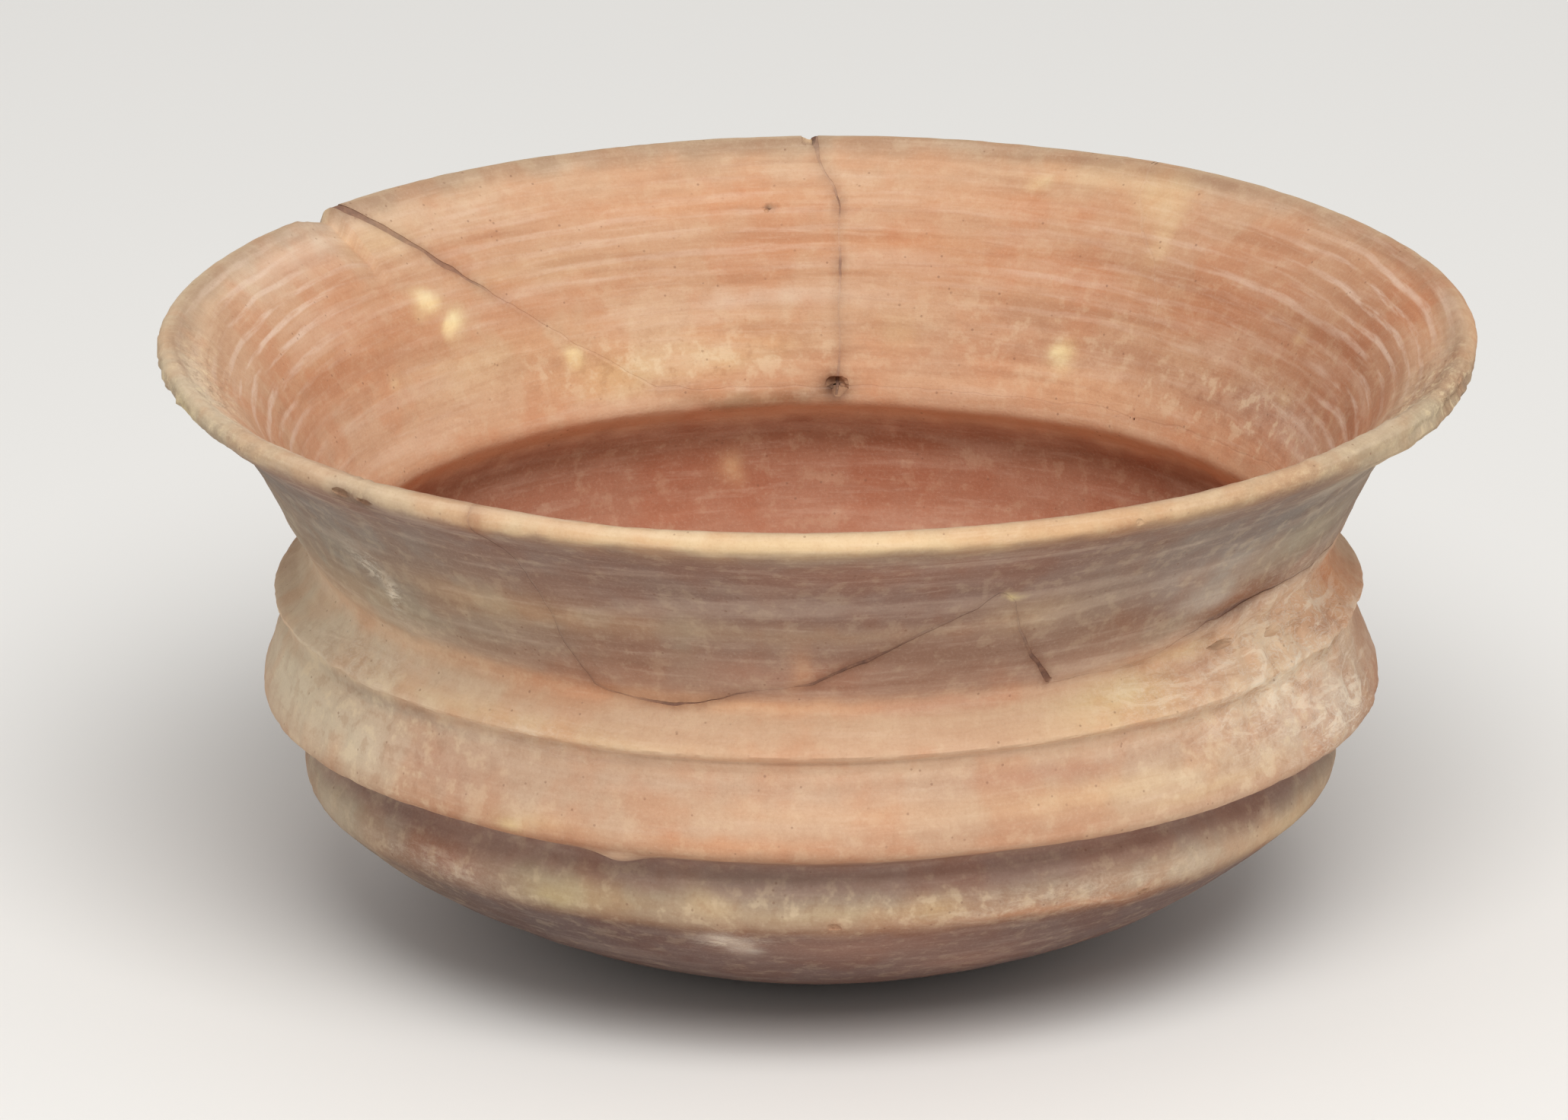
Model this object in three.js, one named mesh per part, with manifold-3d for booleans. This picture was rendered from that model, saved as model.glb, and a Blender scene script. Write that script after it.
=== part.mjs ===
// A thin-walled pottery bowl with a flaring neck and three ridges round its body.
// It broke long ago and is glued together from a body and three neck sherds.
// Millimetres, +Z up, origin at the middle of the small flat that it rests on.
// Azimuths are in degrees: 0 is the front (-Y), 90 the right (+X), 180 the back.

import * as THREE from 'three';
import { mergeVertices } from 'three/addons/utils/BufferGeometryUtils.js';
import Module from 'manifold-3d';

const wasm = await Module();
wasm.setup();

// Rounded base, from the resting flat up to the lowest ridge
const FOOT_RADIUS = 9;
const BASE_HEIGHT = 15.7;
const BASE_EDGE_RADIUS = 50;
const BASE_CURVE_OUT = 32;
const BASE_EDGE_DEPTH = 6.4;
const BASE_EDGE_INSET = 7.9;

// Lowest ridge: a flat band with the deep groove over it
const BAND_RADIUS = 50.2;
const BAND_RISE = 2.6;
const BAND_HEIGHT = 6.3;
const GROOVE_RADIUS = 48.5;

// Middle ridge: the widest part of the body, with a sharp lower edge
const RIDGE_EDGE_RADIUS = 54.2;
const RIDGE_EDGE_RISE = 2.3;
const RIDGE_RADIUS = 53.9;
const RIDGE_RISE = 2.3;
const RIDGE_HEIGHT = 9;

// Collar: the top ridge, rolled down over a shallow groove, under the neck
const COLLAR_GROOVE_RADIUS = 51.5;
const COLLAR_RADIUS = 53;
const COLLAR_RISE = 0.9;
const SHOULDER_RADIUS = 51;
const SHOULDER_RISE = 3.3;
const COLLAR_HEIGHT = 5.3;

// Neck: a concave flare from its root to a rounded lip
const NECK_RADIUS = 49.7;
const NECK_HEIGHT = 21.5;
const RIM_RADIUS = 64;
const LIP_RADIUS = 1.6;
const LIP_TILT = THREE.MathUtils.degToRad(30);
const FLARE_START_OUT = 4.6;
const FLARE_START_UP = 9;
const FLARE_END_OUT = 9;
const FLARE_END_UP = 6;

// Thickness of the clay
const NECK_WALL = 3.7;
const THROAT_DROP = 1;
const BODY_WALL = 4;
const HOLLOW_BULGE = 1.2;
const FLOOR_THICKNESS = 5;

// Breaks: how far apart the broken faces stand, and the glue between them
const BREAK_GAP = 0.8;
const GLUE_THICKNESS = 0.35;
const BREAK_RADIUS = 52;
const CHIP_RADIUS = 1.4;
const CORNER_WEAR_LENGTH = 9;
const CORNER_WEAR_DEPTH = 1.8;

// Heights over the resting flat
const GROOVE_Z = BASE_HEIGHT + BAND_HEIGHT;
const RIDGE_EDGE_Z = GROOVE_Z + RIDGE_EDGE_RISE;
const COLLAR_GROOVE_Z = RIDGE_EDGE_Z + RIDGE_HEIGHT;
const ROOT_Z = COLLAR_GROOVE_Z + COLLAR_HEIGHT;
const HEIGHT = ROOT_Z + NECK_HEIGHT;
const CLEAR = 6;

// How finely the round forms are divided
const ROUND_STEPS = 64;
const CURVE_STEPS = 7;
const SPLINE_STEPS = 3;
const CUT_STEP = 6;
const CHIP_STEPS = 8;
const SHARPEST_MITRE = 0.5;

// Heights on the neck, as a share of its height over its root
const up = (share) => ROOT_Z + share * NECK_HEIGHT;
const TOP = HEIGHT + CLEAR;

// The long break, from the rim at the front left, along the neck's root, to the rim at the back left.
// Each point is an azimuth and a height. The peak at 17 degrees belongs to the body.
const LONG_BREAK = [
  [-31.2, TOP], [-30.6, up(0.91)], [-28.2, up(0.47)], [-28, up(0.22)], [-25.8, up(0.04)],
  [-20.2, up(0)], [-14, up(-0.01)], [-9, up(0.05)], [-0.5, up(0.12)],
  [6, up(0.3)], [11.8, up(0.4)], [17, up(0.61)], [21, up(0.39)], [22.8, up(0.24)], [26.8, up(0.03)],
  [38.8, up(0.03)], [49, up(0.08)], [56, up(0.12)], [75, up(0.1)], [100, up(0.06)], [120, up(0.04)],
  [137.5, up(0.03)], [158, up(0.02)], [177.6, up(0.01)], [190, up(0.01)], [199.8, up(0.04)],
  [205, up(0.17)], [211.3, up(0.34)], [218.2, up(0.57)], [226.2, up(0.78)], [229.6, up(0.96)], [230.4, TOP],
];

// The two breaks that run up the neck alone, from under its root to over the rim
const RIGHT_BREAK = [
  [137.5, up(-0.4)], [137.5, up(0.03)], [139.3, up(0.52)], [142.2, up(0.68)], [146.6, up(0.87)], [147.6, TOP],
];
const BACK_BREAK = [
  [177.6, up(-0.4)], [177.4, up(0.05)], [177.8, up(0.5)], [178.4, up(0.78)], [180.2, up(0.98)], [180.6, TOP],
];

// An azimuth on the left, where the neck belongs to the body and no sherd reaches
const FAR_AZIMUTH = 275;

// Where the rim's corner is worn, and where the small chip is lost
const WORN_CORNER_AZIMUTH = 230;
const CHIP_AZIMUTH = 177.6;
const CHIP_RISE = 0.03;

const radians = THREE.MathUtils.degToRad;

// A point at an azimuth, a distance from the axis and a height
function polar(azimuth, radius, z) {
  const a = radians(azimuth);
  return [radius * Math.sin(a), -radius * Math.cos(a), z];
}

// A closed three.js mesh as a solid that can be cut
function toSolid(geometry) {
  const bare = geometry.index ? geometry.clone() : geometry;
  bare.deleteAttribute('normal');
  bare.deleteAttribute('uv');
  const merged = mergeVertices(bare, 1e-4);
  const index = merged.index.array;
  const triangles = [];
  for (let i = 0; i < index.length; i += 3) {
    const [a, b, c] = [index[i], index[i + 1], index[i + 2]];
    if (a !== b && b !== c && c !== a) triangles.push(a, b, c);
  }
  const mesh = new wasm.Mesh({
    numProp: 3,
    vertProperties: new Float32Array(merged.attributes.position.array),
    triVerts: new Uint32Array(triangles),
  });
  return new wasm.Manifold(mesh);
}

// A cut solid as a geometry again
function toGeometry(solid) {
  const mesh = solid.getMesh();
  const geometry = new THREE.BufferGeometry();
  geometry.setAttribute('position', new THREE.BufferAttribute(mesh.vertProperties, 3));
  geometry.setIndex(new THREE.BufferAttribute(mesh.triVerts, 1));
  geometry.computeVertexNormals();
  return geometry;
}

// A tube of four-cornered sections, closed at both ends
function sectionedSolid(sections) {
  const corners = sections[0].length;
  const index = [];
  for (let s = 0; s + 1 < sections.length; s++) {
    for (let c = 0; c < corners; c++) {
      const a = s * corners + c;
      const b = s * corners + (c + 1) % corners;
      index.push(a, b, b + corners, a, b + corners, a + corners);
    }
  }
  const last = (sections.length - 1) * corners;
  for (let c = 1; c + 1 < corners; c++) {
    index.push(0, c + 1, c, last, last + c, last + c + 1);
  }
  const geometry = new THREE.BufferGeometry();
  const position = new Float32Array(sections.flat(2));
  geometry.setAttribute('position', new THREE.BufferAttribute(position, 3));
  geometry.setIndex(index);
  return toSolid(geometry);
}

// Outside of the clay, from the middle of the foot up to the lip
function outerOutline(path) {
  path.lineTo(FOOT_RADIUS, 0);
  path.bezierCurveTo(BASE_CURVE_OUT, 0, BASE_EDGE_RADIUS - BASE_EDGE_INSET, BASE_HEIGHT - BASE_EDGE_DEPTH,
    BASE_EDGE_RADIUS, BASE_HEIGHT);
  path.splineThru([
    new THREE.Vector2(BAND_RADIUS, BASE_HEIGHT + BAND_RISE),
    new THREE.Vector2(GROOVE_RADIUS, GROOVE_Z),
  ]);
  path.lineTo(RIDGE_EDGE_RADIUS, RIDGE_EDGE_Z);
  path.splineThru([
    new THREE.Vector2(RIDGE_RADIUS, RIDGE_EDGE_Z + RIDGE_RISE),
    new THREE.Vector2(COLLAR_GROOVE_RADIUS, COLLAR_GROOVE_Z),
    new THREE.Vector2(COLLAR_RADIUS, COLLAR_GROOVE_Z + COLLAR_RISE),
    new THREE.Vector2(SHOULDER_RADIUS, COLLAR_GROOVE_Z + SHOULDER_RISE),
    new THREE.Vector2(NECK_RADIUS, ROOT_Z),
  ]);
  const underLip = HEIGHT - LIP_RADIUS * (1 + Math.sin(LIP_TILT));
  const lipEdge = RIM_RADIUS - LIP_RADIUS * (1 - Math.cos(LIP_TILT));
  path.bezierCurveTo(NECK_RADIUS + FLARE_START_OUT, ROOT_Z + FLARE_START_UP,
    lipEdge - FLARE_END_OUT, underLip - FLARE_END_UP, lipEdge, underLip);
}

// The rounded lip and the inside, back down to the middle of the floor
function innerOutline(path) {
  const lipCentre = RIM_RADIUS - LIP_RADIUS;
  path.absarc(lipCentre, HEIGHT - LIP_RADIUS, LIP_RADIUS, -LIP_TILT, Math.PI - LIP_TILT, false);
  const inside = lipCentre - LIP_RADIUS * Math.cos(LIP_TILT);
  const insideZ = HEIGHT - LIP_RADIUS * (1 - Math.sin(LIP_TILT));
  const throat = NECK_RADIUS - NECK_WALL;
  const throatZ = ROOT_Z - THROAT_DROP;
  path.bezierCurveTo(inside - FLARE_END_OUT, insideZ - FLARE_END_UP,
    throat + FLARE_START_OUT, throatZ + FLARE_START_UP, throat, throatZ);
  const hollowRadius = COLLAR_RADIUS - BODY_WALL;
  const waist = GROOVE_RADIUS - BODY_WALL;
  path.splineThru([
    new THREE.Vector2(hollowRadius, ROOT_Z - COLLAR_HEIGHT),
    new THREE.Vector2((hollowRadius + waist) / 2 + HOLLOW_BULGE, RIDGE_EDGE_Z + RIDGE_RISE),
    new THREE.Vector2(waist, GROOVE_Z),
  ]);
  path.bezierCurveTo(waist - BODY_WALL / 2, (GROOVE_Z + FLOOR_THICKNESS) / 2, waist / 2, FLOOR_THICKNESS,
    0, FLOOR_THICKNESS);
}

// How many steps a stretch of the outline is divided into
function stepsOf(curve) {
  if (curve.isLineCurve) return 1;
  return curve.isSplineCurve ? SPLINE_STEPS * (curve.points.length - 1) : CURVE_STEPS;
}

// The whole unbroken bowl
function makeBowl() {
  const path = new THREE.Path();
  path.moveTo(0, 0);
  outerOutline(path);
  innerOutline(path);
  const outline = [];
  for (const curve of path.curves) {
    const points = curve.getPoints(stepsOf(curve));
    outline.push(...points.slice(outline.length ? 1 : 0));
  }
  outline[outline.length - 1].x = 0;
  const lathe = new THREE.LatheGeometry(outline, ROUND_STEPS);
  lathe.rotateX(Math.PI / 2);
  return toSolid(lathe);
}

// A break line moved sideways by a distance, with its corners mitred
function shiftLine(line, distance) {
  const arc = radians(1) * BREAK_RADIUS;
  const flat = line.map(([azimuth, z]) => new THREE.Vector2(azimuth * arc, z));
  return flat.map((point, i) => {
    const before = point.clone().sub(flat[Math.max(i - 1, 0)]);
    const after = flat[Math.min(i + 1, flat.length - 1)].clone().sub(point);
    const a = (before.length() ? before : after).clone().normalize();
    const b = (after.length() ? after : before).clone().normalize();
    const normal = new THREE.Vector2(-a.y - b.y, a.x + b.x).normalize();
    const reach = distance / Math.max(SHARPEST_MITRE, normal.dot(new THREE.Vector2(-a.y, a.x)));
    return [(point.x + normal.x * reach) / arc, point.y + normal.y * reach];
  });
}

// A line with extra points, so that no step goes far round the bowl
function fillLine(line) {
  const filled = [line[0]];
  for (let i = 1; i < line.length; i++) {
    const [from, to] = [line[i - 1], line[i]];
    const steps = Math.max(1, Math.ceil(Math.abs(to[0] - from[0]) / CUT_STEP));
    for (let s = 1; s <= steps; s++) {
      filled.push([from[0] + (to[0] - from[0]) * s / steps, from[1] + (to[1] - from[1]) * s / steps]);
    }
  }
  return filled;
}

// All that lies over the long break, moved up by a distance
function overLongBreak(distance) {
  const inner = NECK_RADIUS / 2;
  const outer = RIM_RADIUS + 2 * CLEAR;
  const line = fillLine(shiftLine(LONG_BREAK, distance));
  return sectionedSolid(line.map(([azimuth, z]) => [
    polar(azimuth, inner, z), polar(azimuth, inner, TOP + CLEAR),
    polar(azimuth, outer, TOP + CLEAR), polar(azimuth, outer, z),
  ]));
}

// All that lies past a break up the neck, round to the far azimuth
function pastNeckBreak(line, distance) {
  const reach = 3 * RIM_RADIUS;
  return sectionedSolid(shiftLine(line, -distance).map(([azimuth, z]) => [
    [0, 0, z], polar(azimuth, reach, z),
    polar((azimuth + FAR_AZIMUTH) / 2, reach, z), polar(FAR_AZIMUTH, reach, z),
  ]));
}

// The chip lost where the back break meets the root, as a short rod through the wall
function makeChip() {
  const rod = new THREE.CylinderGeometry(CHIP_RADIUS, CHIP_RADIUS, RIM_RADIUS / 2, CHIP_STEPS);
  rod.translate(0, BREAK_RADIUS, 0);
  rod.rotateZ(radians(CHIP_AZIMUTH) + Math.PI);
  rod.translate(0, 0, up(CHIP_RISE));
  return toSolid(rod);
}

// The worn corner of the body's rim, beside the break at the back left
function makeCornerWear() {
  const arc = CORNER_WEAR_LENGTH / (radians(1) * RIM_RADIUS);
  const section = (azimuth, z) => [
    polar(azimuth, NECK_RADIUS, z), polar(azimuth, NECK_RADIUS, TOP),
    polar(azimuth, RIM_RADIUS + CLEAR, TOP), polar(azimuth, RIM_RADIUS + CLEAR, z),
  ];
  return sectionedSolid([
    section(WORN_CORNER_AZIMUTH - arc / 2, HEIGHT - CORNER_WEAR_DEPTH),
    section(WORN_CORNER_AZIMUTH + arc / 4, HEIGHT - CORNER_WEAR_DEPTH),
    section(WORN_CORNER_AZIMUTH + arc, HEIGHT),
  ]);
}

const pastRight = (distance) => pastNeckBreak(RIGHT_BREAK, distance);
const pastBack = (distance) => pastNeckBreak(BACK_BREAK, distance);

// The four sherds
function makeSherds(bowl, chip) {
  const half = BREAK_GAP / 2;
  const neck = bowl.intersect(overLongBreak(half)).subtract(chip);
  return {
    body_sherd: bowl.subtract(overLongBreak(-half)).subtract(chip).subtract(makeCornerWear()),
    neck_sherd_front: neck.subtract(pastRight(-half)),
    neck_sherd_back_right: neck.intersect(pastRight(half)).subtract(pastBack(-half)),
    neck_sherd_back_left: neck.intersect(pastBack(half)),
  };
}

// The glue in each break, kept clear of the broken faces and of the next run of glue
function makeGlue(bowl, chip) {
  const half = GLUE_THICKNESS / 2;
  const clear = BREAK_GAP / 2;
  const long = bowl.intersect(overLongBreak(-half)).subtract(overLongBreak(half)).subtract(chip);
  const over = bowl.intersect(overLongBreak(clear)).subtract(chip);
  return {
    glue_front: long.subtract(pastRight(-clear)),
    glue_back_right: long.intersect(pastRight(clear)).subtract(pastBack(-clear)),
    glue_back_left: long.intersect(pastBack(clear)),
    glue_right_seam: over.intersect(pastRight(-half)).subtract(pastRight(half)),
    glue_back_seam: over.intersect(pastBack(-half)).subtract(pastBack(half)),
  };
}

const clay = { color: 0xcf9f78, roughness: 0.9, metalness: 0 };
const neckClay = { color: 0xc4906a, roughness: 0.88, metalness: 0 };
const glue = { color: 0x6b4a35, roughness: 0.6, metalness: 0 };

const finish = {
  body_sherd: clay,
  neck_sherd_front: neckClay,
  neck_sherd_back_right: neckClay,
  neck_sherd_back_left: neckClay,
};

const bowl = makeBowl();
const chip = makeChip();
const solids = { ...makeSherds(bowl, chip), ...makeGlue(bowl, chip) };

const pot = new THREE.Group();
for (const [name, solid] of Object.entries(solids)) {
  const mesh = new THREE.Mesh(toGeometry(solid), new THREE.MeshStandardMaterial(finish[name] ?? glue));
  mesh.name = name;
  pot.add(mesh);
}

export default pot;
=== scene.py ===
import math

import bmesh
import bpy
import numpy as np
from mathutils import Matrix, Vector


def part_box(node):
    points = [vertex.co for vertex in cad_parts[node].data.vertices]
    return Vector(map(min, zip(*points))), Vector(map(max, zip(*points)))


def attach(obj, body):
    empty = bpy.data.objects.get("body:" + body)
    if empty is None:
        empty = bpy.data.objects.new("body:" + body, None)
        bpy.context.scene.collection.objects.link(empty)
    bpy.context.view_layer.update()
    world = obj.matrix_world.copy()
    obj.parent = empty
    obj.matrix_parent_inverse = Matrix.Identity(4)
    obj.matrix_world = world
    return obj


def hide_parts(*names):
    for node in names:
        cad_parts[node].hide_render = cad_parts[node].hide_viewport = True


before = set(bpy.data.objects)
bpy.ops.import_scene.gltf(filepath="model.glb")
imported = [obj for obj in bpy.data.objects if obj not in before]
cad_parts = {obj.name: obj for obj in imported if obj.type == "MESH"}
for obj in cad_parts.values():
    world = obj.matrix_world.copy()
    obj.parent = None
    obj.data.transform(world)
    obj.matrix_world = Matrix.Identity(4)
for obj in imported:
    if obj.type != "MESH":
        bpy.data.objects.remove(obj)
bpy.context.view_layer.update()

# A thin-walled pottery bowl, broken long ago and glued together from a body and three neck sherds.
# Metres, +Z up. Azimuths are in degrees: 0 is the front (-Y), 90 the right (+X), 180 the back.

MM = 0.001

# Rounded base, lowest ridge, middle ridge and collar, as on the solids
FOOT_RADIUS = 9 * MM
BASE_HEIGHT = 15.7 * MM
BASE_RADIUS = 50 * MM
BASE_CURVE_OUT = 32 * MM
BASE_EDGE_DEPTH = 6.4 * MM
BASE_EDGE_INSET = 7.9 * MM
BAND_RADIUS = 50.2 * MM
BAND_RISE = 2.6 * MM
GROOVE_Z = BASE_HEIGHT + 6.3 * MM
GROOVE_RADIUS = 48.5 * MM
RIDGE_EDGE_RADIUS = 54.2 * MM
RIDGE_EDGE_Z = GROOVE_Z + 2.3 * MM
RIDGE_RADIUS = 53.9 * MM
RIDGE_RISE = 2.3 * MM
COLLAR_GROOVE_RADIUS = 51.5 * MM
COLLAR_GROOVE_Z = RIDGE_EDGE_Z + 9 * MM
COLLAR_RADIUS = 53 * MM
COLLAR_RISE = 0.9 * MM
SHOULDER_RADIUS = 51 * MM
SHOULDER_RISE = 3.3 * MM

# Neck, lip and thickness of the clay
ROOT_Z = COLLAR_GROOVE_Z + 5.3 * MM
NECK_RADIUS = 49.7 * MM
RIM_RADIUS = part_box("neck_sherd_front")[1][0]
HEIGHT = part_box("neck_sherd_front")[1][2]
LIP_RADIUS = 1.3 * MM
LIP_TILT = math.radians(30)
FLARE_START = (4.6 * MM, 9 * MM)
FLARE_END = (9 * MM, 6 * MM)
NECK_WALL = 3.7 * MM
THROAT_DROP = 1 * MM
BODY_WALL = 4 * MM
HOLLOW_BULGE = 1.2 * MM
FLOOR_THICKNESS = 5 * MM

# How finely the clay is divided
AROUND = 512
BASE_STEPS = 24
BAND_STEPS = 13
EDGE_STEPS = 10
RIDGE_STEPS = 38
NECK_STEPS = 40
LIP_STEPS = 12
BELLY_STEPS = 30
FLOOR_STEPS = 16

# Breaks: azimuth, height and half the gap's width in millimetres, and how dark and open the break is on
# the outside and on the inside, from 0, filled flush, to 1
LONG_BREAK = [
    (-31.6, 64, 0.08, 0.3, 0.3), (-30.9, 58.6, 0.08, 0.4, 0.3), (-29.6, 53.5, 0.07, 0.1, 0),
    (-28.7, 48.9, 0.08, 0.25, 0), (-28, 46, 0.08, 0.25, 0), (-27.3, 43.5, 0.09, 0.35, 0),
    (-26.4, 41.2, 0.1, 0.4, 0), (-25.2, 39.4, 0.11, 0.45, 0), (-20.2, 38.4, 0.11, 0.55, 0),
    (-16, 38.1, 0.13, 0.85, 0), (-12.8, 38.6, 0.13, 0.85, 0), (-9, 39.8, 0.1, 0.55, 0),
    (-6.5, 40.4, 0.08, 0.12, 0), (-3.5, 40.7, 0.08, 0.1, 0), (-0.9, 41, 0.16, 0.75, 0),
    (2.2, 42.6, 0.2, 1, 0), (5.2, 44, 0.19, 0.9, 0), (10.7, 47, 0.12, 0.45, 0),
    (15.2, 49.2, 0.1, 0.35, 0), (17.6, 50.7, 0.09, 0.3, 0), (19.2, 49.6, 0.08, 0.25, 0),
    (20.7, 46, 0.1, 0.35, 0), (22.5, 42.7, 0.15, 0.75, 0), (24.2, 40.8, 0.22, 1, 0),
    (25.6, 39.4, 0.26, 1, 0), (26.3, 39.2, 0.09, 0.2, 0), (28.5, 39.1, 0.09, 0.2, 0),
    (33.5, 39.2, 0.09, 0.2, 0), (38.8, 39.4, 0.09, 0.2, 0), (43, 40.9, 0.1, 0.2, 0),
    (46.2, 41.9, 0.16, 0.6, 0), (50, 42.1, 0.22, 0.9, 0), (54.5, 42.4, 0.22, 0.9, 0),
    (60, 42.5, 0.14, 0.4, 0), (64.2, 42.5, 0.1, 0.3, 0), (75, 42.7, 0.1, 0.35, 0), (85, 42, 0.1, 0.5, 0),
    (100, 40.6, 0.1, 0.6, 0), (120, 39.6, 0.1, 0.5, 0), (137.5, 39.3, 0.1, 0.5, 0),
    (158, 39, 0.1, 0.4, 0), (172, 38.8, 0.12, 0.7, 0), (190, 38.9, 0.14, 0.8, 0.1),
    (199.8, 39.5, 0.14, 0.6, 0.15), (205, 42.3, 0.12, 0.5, 0.1), (209.2, 44.5, 0.12, 0.6, 0.1),
    (211.3, 46, 0.13, 0.7, 0.1), (214.5, 48.2, 0.15, 0.7, 0.2), (217.6, 50.4, 0.18, 0.9, 0.3),
    (219.3, 51.7, 0.24, 0.9, 0.55), (221.6, 53.5, 0.28, 1, 0.65), (224.4, 56.1, 0.32, 1, 0.6),
    (226.9, 58.3, 0.36, 1, 0.65), (229, 60, 0.38, 1, 0.75), (230, 61, 0.4, 1, 0.8),
    (233, 64.6, 0.4, 1, 0.8),
]
RIGHT_BREAK = [
    (138, 38, 0.1, 0.7, 0), (138.2, 44, 0.1, 0.5, 0), (139.3, 49.9, 0.1, 0.7, 0),
    (142.2, 53.5, 0.12, 0.5, 0), (145, 55.3, 0.12, 0.6, 0), (147, 57.8, 0.12, 0.5, 0),
    (148, 64, 0.12, 0.4, 0),
]
BACK_BREAK = [
    (177.6, 38, 0.14, 0.8, 0.6), (177.3, 43.2, 0.1, 0.8, 0.3), (177.3, 48.4, 0.1, 0.6, 0.3),
    (177.3, 49.9, 0.13, 0.6, 0.75), (177.4, 51.6, 0.1, 0.8, 0.2), (177.5, 53.6, 0.1, 0.8, 0.3),
    (177.6, 54.9, 0.13, 0.8, 0.75), (178.2, 56.6, 0.15, 0.8, 0.35), (179.2, 58.1, 0.22, 1, 0.4),
    (180.3, 60.2, 0.34, 1, 0.6), (181, 64, 0.8, 1, 0.8),
]
# Steps along a break, and how it sways and frays, in millimetres
BREAK_STEP = 0.4
BREAK_JITTER = 0.22
BREAK_FRAY = 0.05
BREAK_SWAY = 3.4
# Millimetres that a degree takes along a break
BREAK_ARC = 52 * math.radians(1)
# The curtains that cut the gaps, the glue in them and the stain beside them
THINNEST_BREAK = 0.03
BLADE_FROM = 38 * MM
BLADE_TO = 72 * MM
BLADE_STEPS = 5
GLUE_BEDDING = 0.06
SEAM_CLEAR = 0.4
GLUE_SKIN = 0.02 * MM
GLUE_RECESS = 0.06 * MM
STAIN_REACH = 0.65

# The small chip lost where the back break meets the root, and the dark pit inside the neck
LOST_CHIP = (177.4, 39.1)
DARK_PIT = (185, 54.7)

# How many points are compared with a line at once
BATCH = 8192


def lattice(cell, seed):
    """A repeatable number from 0 to 1 for each whole-numbered cell"""
    x, y, z = cell.astype(np.int64).T
    mixed = (x * 73856093) ^ (y * 19349663) ^ (z * 83492791) ^ (seed * 40503)
    mixed = ((mixed ^ (mixed >> 13)) * 1274126177) & 0xFFFFFFFF
    mixed = ((mixed ^ (mixed >> 15)) * 668265263) & 0xFFFFFFFF
    return (mixed ^ (mixed >> 16)) / 0xFFFFFFFF


def noise(points, seed=0):
    """Smooth noise from -1 to 1 at each point"""
    cell = np.floor(points)
    part = points - cell
    part = part * part * (3 - 2 * part)
    total = np.zeros(len(points))
    for corner in np.ndindex(2, 2, 2):
        weight = np.prod(np.where(corner, part, 1 - part), axis=1)
        total += weight * lattice(cell + corner, seed)
    return 2 * total - 1


def fractal(points, octaves, seed=0):
    """Noise with finer and finer detail on it"""
    return sum(noise(points * 2 ** k, seed + 7 * k) / 2 ** k for k in range(octaves))


def polar(azimuth, radius, z):
    """Points at azimuths in degrees, distances from the axis and heights"""
    a = np.radians(azimuth)
    return np.stack([radius * np.sin(a), -radius * np.cos(a), z + 0 * a], axis=-1)


def bezier(a, b, c, d, steps):
    """Points on a curve from a to d that b and c pull on"""
    t = np.linspace(0, 1, steps + 1)[:, None]
    a, b, c, d = map(np.array, (a, b, c, d))
    return a * (1 - t) ** 3 + 3 * b * t * (1 - t) ** 2 + 3 * c * t * t * (1 - t) + d * t ** 3


def distances(points):
    """How far along a line each of its points lies"""
    return np.concatenate([[0], np.cumsum(np.linalg.norm(np.diff(points, axis=0), axis=1))])


def sideways(line):
    """Directions square to a line's way at each of its points, to the left"""
    way = np.gradient(line, axis=0)
    way /= np.maximum(np.linalg.norm(way, axis=1), 1e-12)[:, None]
    return np.stack([-way[:, 1], way[:, 0]], axis=1)


def spline(points, steps):
    """A smooth curve through the points, divided into even steps"""
    p = np.array([points[0], *points, points[-1]])
    t = np.linspace(0, 1, 41)[:, None]
    parts = [0.5 * (2 * b + (c - a) * t + (2 * a - 5 * b + 4 * c - d) * t ** 2
                    + (3 * b - a - 3 * c + d) * t ** 3) for a, b, c, d in zip(p, p[1:], p[2:], p[3:])]
    fine = np.concatenate(parts)
    along = distances(fine)
    even = np.linspace(0, along[-1], steps + 1)
    return np.stack([np.interp(even, along, column) for column in fine.T], axis=1)


def outer_outline():
    """Outside of the clay as radius and height, from the foot up to under the lip"""
    base_edge, groove = (BASE_RADIUS, BASE_HEIGHT), (GROOVE_RADIUS, GROOVE_Z)
    ridge_edge, root = (RIDGE_EDGE_RADIUS, RIDGE_EDGE_Z), (NECK_RADIUS, ROOT_Z)
    foot = [(0, 0), (FOOT_RADIUS / 3, 0)]
    base = bezier((FOOT_RADIUS, 0), (BASE_CURVE_OUT, 0),
                  np.subtract(base_edge, (BASE_EDGE_INSET, BASE_EDGE_DEPTH)), base_edge, BASE_STEPS)
    band = spline([base_edge, (BAND_RADIUS, BASE_HEIGHT + BAND_RISE), groove], BAND_STEPS)
    edge = spline([groove, ridge_edge], EDGE_STEPS)
    ridges = spline([ridge_edge, (RIDGE_RADIUS, RIDGE_EDGE_Z + RIDGE_RISE),
                     (COLLAR_GROOVE_RADIUS, COLLAR_GROOVE_Z),
                     (COLLAR_RADIUS, COLLAR_GROOVE_Z + COLLAR_RISE),
                     (SHOULDER_RADIUS, COLLAR_GROOVE_Z + SHOULDER_RISE), root], RIDGE_STEPS)
    lip_edge = (RIM_RADIUS - LIP_RADIUS * (1 - math.cos(LIP_TILT)),
                HEIGHT - LIP_RADIUS * (1 + math.sin(LIP_TILT)))
    neck = bezier(root, np.add(root, FLARE_START), np.subtract(lip_edge, FLARE_END), lip_edge, NECK_STEPS)
    return np.concatenate([foot, base, band[1:], edge[1:], ridges[1:], neck[1:]])


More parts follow.
